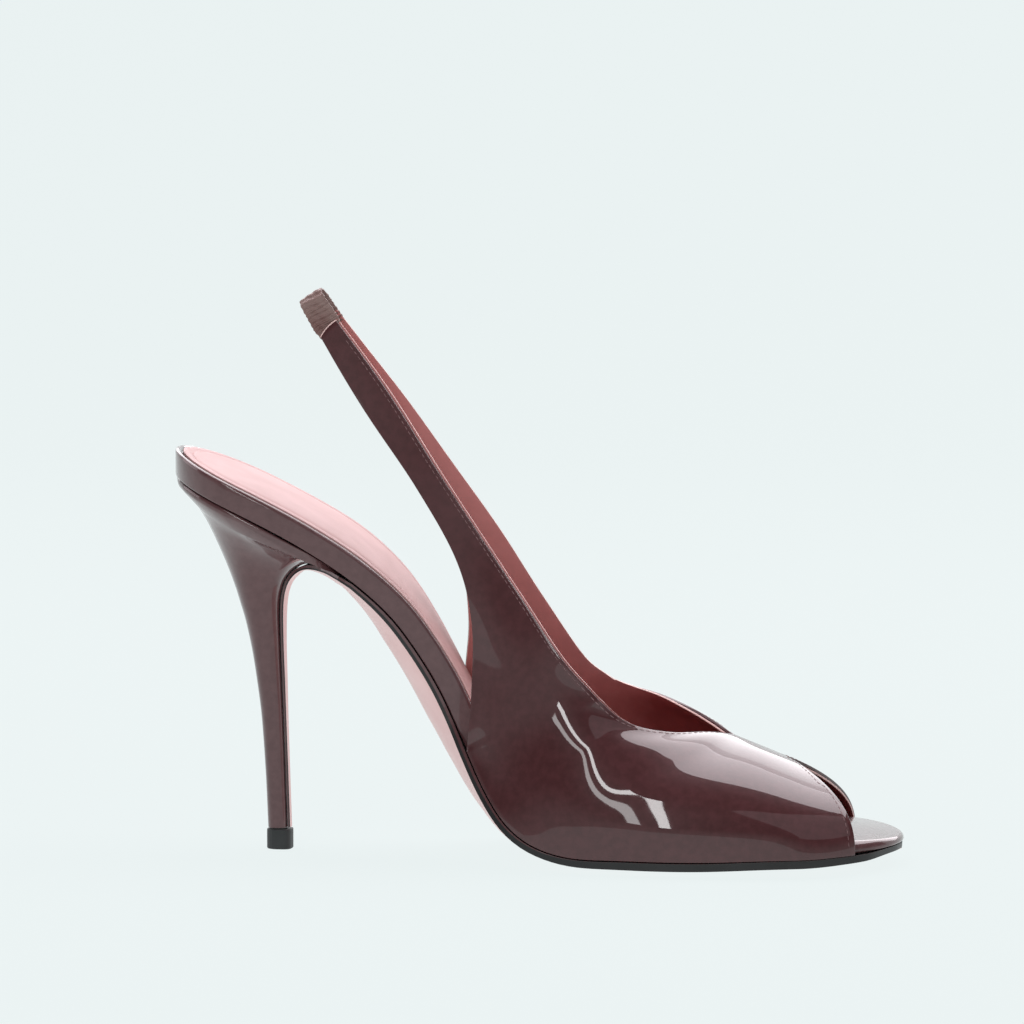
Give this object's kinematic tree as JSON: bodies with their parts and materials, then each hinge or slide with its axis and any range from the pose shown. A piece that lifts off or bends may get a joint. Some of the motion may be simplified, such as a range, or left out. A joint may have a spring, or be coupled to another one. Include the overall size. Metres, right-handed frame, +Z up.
{
  "type": "slingback sandal",
  "caption": "Peep-toe slingback sandal on a slim high heel: glossy leather upper open at the throat, toe and heel, with gathered elastic at the back of the sling.",
  "frame": {"origin": "middle of the shoe's bounding box, on the floor it stands on", "axes": "+X towards the toe, +Y towards the outer (lateral) side of the foot, +Z up"},
  "size_m": [0.211, 0.0776, 0.1612],
  "materials": {
    "outsole_leather": "smooth natural leather, satin, with black dyed edges",
    "footbed_patent": "high gloss patent",
    "sock_leather": "satin",
    "heel_patent": "high gloss patent over a moulded heel",
    "tip_rubber": "matt",
    "upper_patent": "high gloss patent outside, matt leather lining inside",
    "elastic_cloth": "gathered, dull"
  },
  "bodies": {
    "root": {"outsole": "outsole_leather", "footbed": "footbed_patent", "insole_sock": "sock_leather", "heel": "heel_patent", "heel_tip": "tip_rubber", "upper": "upper_patent", "heel_elastic": "elastic_cloth"}
  },
  "joints": []
}
